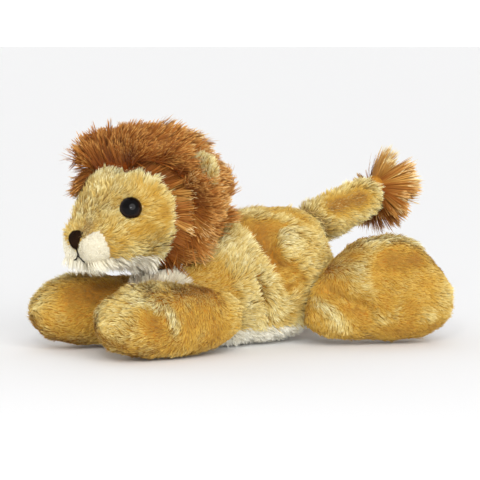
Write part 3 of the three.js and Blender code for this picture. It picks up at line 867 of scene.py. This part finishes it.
# %% Leg piles
for leg, way, tone, per_mm2, seed in (
    ("front_left", front_way, front_tone, 5, 21), ("front_right", front_way, front_tone, 4.6, 22),
    ("hind_left", hind_way, hind_tone, 4.7, 23), ("hind_right", hind_way, hind_tone, 3.9, 24),
):
    lay_pile(leg + "_leg_pile", skins[leg + "_leg"], golden_pile, per_mm2, limb_length(tone), 0.36, way, tone,
             rise=(0.8, 0.25), gather=0.3, cell=1.5, seed=seed, body=leg + "_leg")

# %% [markdown]
# The tail is a straight tube of the same cloth, so one direction is enough for its pile. A smooth
# golden hollow runs along it.

# %% Tail pile
TAIL_WAY = np.array([0.9, 0, 0.15])


@left_values
def tail_tone(p, n):
    """A smooth golden hollow along the top and side, and pale ends; at the root end the paleness is
    painted light against the shade where the tail meets the body.
    """
    return patches(p, 0.72, [
        ((42, -7, 63), (62, -8, 67), 5.5, -0.05),
        ((70, 0, 62), (74, 0, 74), 7, 0.92),
        # painted light: paler at the root end, against the shade where the tail meets the body
        ((30, 0, 48), (34, 0, 56), 5, 0.8),
    ]) + 0.09 * ripple(p, 12, 41)


lay_pile("tail_pile", skins["tail"], golden_pile, 4.6, limb_length(tail_tone), 0.4,
         lambda p, n: TAIL_WAY + 0 * p, tail_tone,
         rise=(1.0, 0.4), gather=0.35, cell=1.6, seed=41, body="tail")

# %% [markdown]
# The head: the face pile flows away from the nose on every side. The mane starts at the hairline, which
# crosses the forehead and drops down each cheek. The muzzle has short white velour. All of it stands on
# one skin, and each part is a soft mask, so that no seam shows where two cloths meet.

# %% Parts of the head
NOSE_TIP = np.array([-92, 0, 53]) * MM
HAIRLINE_BEND = 17


def far_side(p):
    """1 on the far side of the head, above the eye, where the mane is ruffled forwards."""
    x, y, z = in_mm(p)
    band = ease(66, 73, z) * ease(98, 92, z)
    return ease(7, 14, y) * band * ease(-50, -58, x)


def behind_hairline(p):
    """Signed distance in mm behind the hairline: a rounded corner between two planes."""
    x, _, z = in_mm(p)
    a = np.maximum(x + 59.5 + 8 * far_side(p) + HAIRLINE_BEND, 0)
    b = np.maximum(z - 81.8 + HAIRLINE_BEND, 0)
    return np.hypot(a, b) - HAIRLINE_BEND + 0.9 * ripple(p, 6, 51)


def muzzle_part(p):
    """1 on the two velour muzzle patches."""
    x, y, z = in_mm(p)
    top = 56.8 - 0.8 * np.maximum(0, 11 - np.abs(y))
    rear = -89.6 + (56.5 - z) * 0.353
    return ease(0.4, -0.4, z - top) * ease(0.4, -0.4, x - rear) * ease(42.2, 43, z)


def chin_part(p):
    """1 on the shaggy cream chin under the muzzle and jaw."""
    x, _, z = in_mm(p)
    edge = 43.6 + 2.2 * ease(-88, -82, x)
    return ease(0.6, -0.6, z - edge + 0.6 * ripple(p, 6, 52)) * ease(-60, -63, x)


def eye_part(p):
    """1 close to either eye, where no pile grows."""
    near = [near_line(p, (top - way * 0.006) / MM, top / MM, 4.5) for _, top, way in EYES.values()]
    return np.where(np.maximum(*near) > 0.37, 1.0, 0.0)


def face_part(p):
    """1 on the face pile."""
    others = np.maximum(np.maximum(muzzle_part(p), chin_part(p)), eye_part(p))
    return ease(0.6, -0.6, behind_hairline(p)) * (1 - others)


def head_backing(p):
    """Which backing lies under each place: 1 cream, 2 orange behind the hairline, 0 straw elsewhere."""
    cream = np.maximum(muzzle_part(p), chin_part(p)) > 0.5
    return np.where(cream, 1, np.where(behind_hairline(p) > 0, 2, 0))


dressed(skins["head"], [straw_backing, cream_backing, orange_backing], head_backing)
print("head parts ready")

# %% Face, muzzle and chin
def face_way(p, n):
    """Away from the nose on every side."""
    return unit(p - NOSE_TIP) + np.array([0, 0, 0.15])


@left_values
def face_tone(p, n):
    """Straw on the bridge and forehead, golden on the cheek, pale at the hairline and the jaw's edge."""
    edge = ease(-6, -1, behind_hairline(p))
    tone = patches(p, 0.5, [
        ((-86, -2, 62), (-80, -4, 80), 9, 0.6),
        ((-70, -25, 70), (-62, -26, 60), 8, 0.28),
        ((-74, -24, 56), (-80, -21, 54), 4, 0.3),
        ((-76, -18, 48), (-64, -20, 48), 5, 0.75),
    ])
    return tone + edge * (0.95 - tone) * 0.8 + 0.1 * ripple(p, 8, 53)


def face_length(p, n):
    """Short by the nose and the eyes, longer towards the hairline, the far cheek and the brow."""
    far = np.linalg.norm(p - NOSE_TIP, axis=1) / MM
    eye = np.max([near_line(p, top / MM, top / MM, 9) for _, top, _ in EYES.values()], axis=0)
    far_cheek = near_line(p, (-90, 9, 58), (-88, 12, 50), 7)
    brow = near_line(p, (-84, 11, 76), (-88, 9, 64), 6)
    corner = near_line(p, (-62, -26, 79), (-62, -24, 82), 4)
    return (1.8 + 2.4 * ease(4, 24, far)) * (1 - 0.4 * eye) + 1.6 * far_cheek + 1.6 * brow + 2 * corner


lay_pile("face_pile", skins["head"], golden_pile, 6.5, face_length, 0.34, face_way, face_tone,
         keep=lambda p, n: face_part(p), rise=(0.75, 0.15), cell=1.4, gather=0.3, seed=51, body="head")
lay_pile("muzzle_velour", skins["head"], cream_pile, 12, 0.9, 0.2, face_way,
         lambda p, n: 0.62 + 0.4 * ripple(p, 1.5, 55), keep=lambda p, n: muzzle_part(p),
         rise=(1.3, 0.9), cell=0.8, gather=0.2, bits=2, seed=52, body="head")
lay_pile("chin_pile", skins["head"], cream_pile, 4.2, 5.7, 0.42,
         lambda p, n: unit(p - NOSE_TIP) + np.array([0.3, 0, -0.7]),
         lambda p, n: 0.6 + 0.3 * ripple(p, 5, 54),
         keep=lambda p, n: chin_part(p), rise=(0.9, 0.5), seed=53, body="head")

# %% [markdown]
# The ears are small pads of the golden cloth, almost buried in the mane. They are closed skins round
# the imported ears, with a pile that lies back and up.

# %% Ears
for side in ("left", "right"):
    ear = finer(wrapped("ear_" + side + "_skin", ["ear_" + side], 1.3, 3))
    dressed(ear, [golden_backing])
    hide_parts("ear_" + side)
    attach(ear, "head")
    lay_pile("ear_" + side + "_pile", ear, golden_pile, 8, 3.2, 0.3,
             lambda p, n: np.array([0.6, 0, 0.6]) + 0 * p, lambda p, n: 0.82 + 0.2 * ripple(p, 3, 62),
             rise=(1.0, 0.5), cell=1.2, gather=0.3, seed=61, body="head")

# %% [markdown]
# The mane is a thick ball of long pile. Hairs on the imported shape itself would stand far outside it, so
# they grow on a core that is drawn in by about half their length. They run away from the middle of the
# face, and thick blunt strips in wide locks give it its ragged look.

# %% Mane core
def far_rim(p):
    """1 on the mane's far side in front, from the cheek to the top, where the pile is ruffled forwards."""
    x, y, z = in_mm(p)
    return ease(5, 13, y) * ease(66, 73, z) * ease(-46, -57, x)


def mane_depth(p):
    """Deeper on top, less deep towards the face, and least along the far rim."""
    x, _, z = in_mm(p)
    deep = 5.0 + 1.2 * ease(80, 98, z) - 1.6 * ease(-64, -74, x)
    return deep - 3.0 * far_rim(p) * ease(76, 84, z)


mane_core = drawn_in(finer(wrapped("mane_core", ["mane"] + HEAD_NODES, 2.4, 4, plugs)), mane_depth)
dressed(mane_core, [orange_backing])
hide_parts("mane")
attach(mane_core, "head")
print("mane core", len(mane_core.data.vertices), "points")

# %% Fields of the mane
FACE_MIDDLE, MANE_MIDDLE = np.array([-84, 0, 62]) * MM, np.array([-55.7, 0, 70]) * MM
MANE_REACH = np.array([37.3, 37.3, 33.6]) * MM


def mane_way(p, n):
    """Away from the middle of the face, and down below, but forwards on the far rim, where it points
    more upwards the higher it is."""
    z = p[:, 2:] / MM
    way = unit(p - FACE_MIDDLE) + np.array([0, 0, -0.5]) * ease(70, 50, z)
    far = far_rim(p)[:, None]
    out = np.array([-0.7, 0.45, 0.1]) + ease(80, 104, z) * np.array([0.5, 0, 1.1])
    return way * (1 - far) + far * out


def mane_rise(p, n):
    """Steeper on top and in front of the ears, where the pile stands up."""
    ears = np.max([near_line(p, (-51, y, 85), (-52, y, 74), 5) for y in (-28, 28)], axis=0)
    steep = np.maximum(ease(85, 98, p[:, 2] / MM), 0.8 * ears)
    return np.stack([0.65 + 0.4 * steep, 0.12 + 0.5 * steep], 1)


def mane_tone(p, n):
    """Darker in front by the hairline, a painted shade where the roots lie in shadow, and paler behind."""
    x, _, z = in_mm(p)
    front_top = ease(70, 84, z) * ease(-46, -60, x)
    # painted shade: front_top darkens the mane in front at the top, by the hairline
    return 0.44 - 0.28 * front_top + 0.1 * ease(62, 52, z) + 0.18 * ripple(p, 12, 71)


def mane_keep(p, n):
    """1 on the mane's outside, not in the hollow behind the head or under the jaw, and thin at the ears."""
    x, _, z = in_mm(p)
    ears = np.max([near_line(p, (-42, y, 82), (-42, y, 78), 4.6) for y in (-30, 30)], axis=0)
    ball = (p - MANE_MIDDLE) / MANE_REACH
    outside = ease(-0.15, 0.1, (unit(ball) * n).sum(1))
    outside = outside * ease(0.66, 0.76, np.linalg.norm(ball, axis=1))
    jaw = ease(50, 44, z) * ease(-52, -58, x)
    return outside * ease(-1, 2, behind_hairline(p)) * (1 - 0.8 * ears) * (1 - jaw)


def mane_length(p, n):
    """10.5 mm, but shorter over the forehead, where it stands up, and longer low on the far rim."""
    x, _, z = in_mm(p)
    front_top = ease(84, 92, z) * ease(-54, -66, x)
    ragged = 1.6 * ripple(p, 5, 78)
    rim = 2.5 * ease(87, 81, z) - 2.6 * ease(84, 90, z)
    low = 2.0 * ease(58, 49, z) * ease(-44, -52, x)
    return 10.5 + far_rim(p) * rim + (1 - far_rim(p)) * (ragged + low - 2 * front_top)


print("mane fields ready")

# %% [markdown]
# The mane's front edge grows on the face's own skin, from a strip just behind the hairline, so that no
# gap opens between face and mane. The rest grows on the core, in two halves that keep each mesh small.

# %% Mane pile
def far_low(p):
    """1 on the far cheek below the ruffled part, where the mane lies flat."""
    _, y, z = in_mm(p)
    return ease(9, 16, y) * ease(73, 67, z)


def edge_length(p, n):
    """A little longer than the rest of the mane, but short low on the far cheek."""
    return mane_length(p, n) + 1.5 - 4 * far_low(p)


def edge_rise(p, n):
    """Standing up at the hairline, but flat low on the far cheek."""
    return np.stack([0.8 - 0.4 * far_low(p) - 0.1 * far_side(p), 0.3 - 0.25 * far_low(p)], 1)


def edge_keep(p, n):
    """1 on a strip 12 mm wide behind the hairline, but not under the jaw."""
    x, _, z = in_mm(p)
    behind = behind_hairline(p)
    strip = ease(-0.5, 0.5, behind) * ease(12, 8, behind)
    return strip * (1 - ease(49, 44, z) * ease(-50, -55, x))


THICK_LOCKS = {"bits": 4, "wander": 0.3, "blunt": True, "body": "head"}
lay_pile("mane_edge", skins["head"], mane_pile, 6.5, edge_length, 0.38, mane_way, mane_tone,
         keep=edge_keep, rise=edge_rise, cell=3.4, gather=0.56, apart=1.05, seed=75, **THICK_LOCKS)
for side, sign, per_mm2 in (("left", -1, 6.5), ("right", 1, 5.2)):
    lay_pile("mane_" + side, mane_core, mane_pile, per_mm2, mane_length, 0.38, mane_way, mane_tone,
             keep=lambda p, n: mane_keep(p, n) * (p[:, 1] * sign >= 0),
             rise=mane_rise, cell=3.6, gather=0.58, apart=1.1, seed=71 + sign, **THICK_LOCKS)

# %% [markdown]
# The eyes are turned buttons: a stem through the cover, a rim, and a glossy dome with a dark brown
# ring that shows at its edge. A profile turned round an axis is the plainest way to make one.

# %% Eyes
DOME_RADIUS, DOME_RISE, BUTTON_SIDES = 5.0, 3.8, 48


def gloss_finish(name, middle_colour, rim_colour, low, high):
    """Glossy plastic with a middle and a rim colour. A number on each point says how near it is to the
    eye's axis, from 0 at the dome's rim to 1, and the colour changes from low to high."""
    made, tree, shader = new_finish(name, 0.05, 0.14)
    ring = new_node(tree, "ShaderNodeAttribute")
    ring.attribute_name = "ring"
    stops = [(0.0, rim_colour), (low, rim_colour), (high, middle_colour), (1.0, middle_colour)]
    feed(tree, shader, {"Base Color": ramp_of(tree, ring.outputs["Fac"], stops)})
    return made


eye_gloss = gloss_finish("eye_gloss", paint(9, 7, 7), paint(30, 18, 12), 0.16, 0.3)
for side, (foot, top, way) in EYES.items():
    tall = np.linalg.norm(top - foot) / MM - 1.5
    arc = np.linspace(0, math.pi / 2, 14)
    dome = [(DOME_RADIUS * math.cos(a), tall - DOME_RISE + DOME_RISE * math.sin(a)) for a in arc[:-1]]
    stem = [(0.9, 0), (1.5, 0.6), (1.5, tall - 6), (4.7, tall - 5), (5.05, tall - 4.4)]
    points, corners = turned_form([*stem, *dome, (0.05, tall)], foot, way, BUTTON_SIDES)
    eye = write_triangles("eye_" + side + "_button", points, corners)
    from_foot = points - foot
    off_axis = np.linalg.norm(from_foot - (from_foot @ way)[:, None] * way, axis=1)
    mark = eye.data.attributes.new("ring", "FLOAT", "POINT")
    mark.data.foreach_set("value", (1 - off_axis / (DOME_RADIUS * MM)).astype(np.float32))
    eye.data.materials.append(eye_gloss)
    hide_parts("eye_" + side)
    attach(eye, "head")
print("eyes made")

# %% [markdown]
# The nose is a stitched pad of dark velour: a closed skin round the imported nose, with a very short and
# steep pile.

# %% Nose
NOSE_SHIFT = np.array([0.6, -0.8, -0.8]) * MM
nose = finer(wrapped("nose_pad", ["nose"], 0.7, 4))
points, _, _ = read_mesh(nose.data)
move_points(nose, points + NOSE_SHIFT)
nose.data.materials.append(backing_finish("nose_backing", (44, 26, 15), (30, 18, 10)))
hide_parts("nose")
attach(nose, "head")
nose_pile = pile_finish(
    "nose_pile", (0.0, 1.0), [(24, 14, 7), (32, 19, 10)], [(36, 22, 12), (46, 29, 16)],
    [(48, 31, 18), (66, 45, 28)], roughness=0.8, sheen=0, gloss=0.05,
)
lay_pile("nose_velour", nose, nose_pile, 16, 0.55, 0.16, lambda p, n: np.array([0.2, 0, -1.0]) + 0 * p,
         lambda p, n: 0.5 + 0.3 * ripple(p, 4, 91),
         rise=(1.3, 0.8), cell=0.6, gather=0.2, bits=2, seed=91, body="head")

# %% [markdown]
# The mouth is stitched in black thread: one stitch down from the nose, and one to each side. A curve
# with a round bevel makes a thread, and its points are pulled onto the skin so that it lies on it.

# %% Mouth
MOUTH_Y, THREAD_LIFT = -0.8, 0.55 * MM


def thread(name, places, thick, finish):
    """A round thread through places in mm, pulled onto the head's surface."""
    curve = bpy.data.curves.new(name, "CURVE")
    curve.dimensions, curve.bevel_depth, curve.bevel_resolution = "3D", thick * MM, 3
    curve.use_fill_caps = True
    line = curve.splines.new("NURBS")
    points, _, normals = read_mesh(skins["head"].data)
    line.points.add(len(places) - 1)
    for point, place in zip(line.points, np.array(places) * MM):
        near = ((points - place) ** 2).sum(1).argmin()
        point.co = (*(points[near] + normals[near] * THREAD_LIFT), 1)
    line.use_endpoint_u, line.order_u = True, 3
    curve.materials.append(finish)
    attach(placed(name, curve), "head")


black_thread = backing_finish("black_thread", (40, 30, 26), (22, 16, 14))
thread("mouth_seam", [
    (-94, -1, 49.5), (-93.6, -1, 48), (-93.2, -1, 46), (-92.5, -1, 44.2),
], 0.35, black_thread)
for side, sign in (("left", -1), ("right", 1)):
    thread("mouth_" + side, [
        (-92.9, sign * 0.4 + MOUTH_Y, 45.6), (-92.4, sign * 2 + MOUTH_Y, 44.2),
        (-92, sign * 3.6 + MOUTH_Y, 43.4), (-91.6, sign * 5 + MOUTH_Y, 43.2),
    ], 0.28, black_thread)
print("nose and mouth made")

# %% [markdown]
# The tuft is a bunch of the mane's pile, sewn into the tail's end. Its hairs grow on a small rounded
# core, so that they fan out backwards by themselves, and those on top are paler: painted light on the top.

# %% Tuft
tail_end = np.array([71.5, 0, 68.8]) * MM
tail_line, fan_line, up_line = unit(np.array([[0.93, 0, 0.2], [0.93, 0, -0.2], [0.7, 0, 0.7]]))
pad = [(6.2 * math.sin(a), 2.5 - 4.5 * math.cos(a)) for a in np.linspace(0.05, math.pi - 0.05, 12)]
tuft_core = write_triangles("tuft_core", *turned_form(pad, tail_end, tail_line, 24))
dressed(tuft_core, [golden_backing])
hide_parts("tail_tuft")
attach(tuft_core, "tail")
lay_pile("tuft", tuft_core, mane_pile, 50, 14.4, 0.5, lambda p, n: fan_line + 0 * p,
         # painted light: the tone rises where the hairs face up
         lambda p, n: 0.5 + 0.4 * ease(0.2, 0.8, n @ up_line) + 0.14 * ripple(p, 3, 81),
         keep=lambda p, n: ease(-0.14, 0.06, n @ fan_line - 0.22 * np.maximum(n[:, 2], 0)),
         rise=(1.35, 1.05), cell=2.4, gather=0.43, bits=5, wander=0.2, apart=1.3, blunt=True,
         seed=82, body="tail")
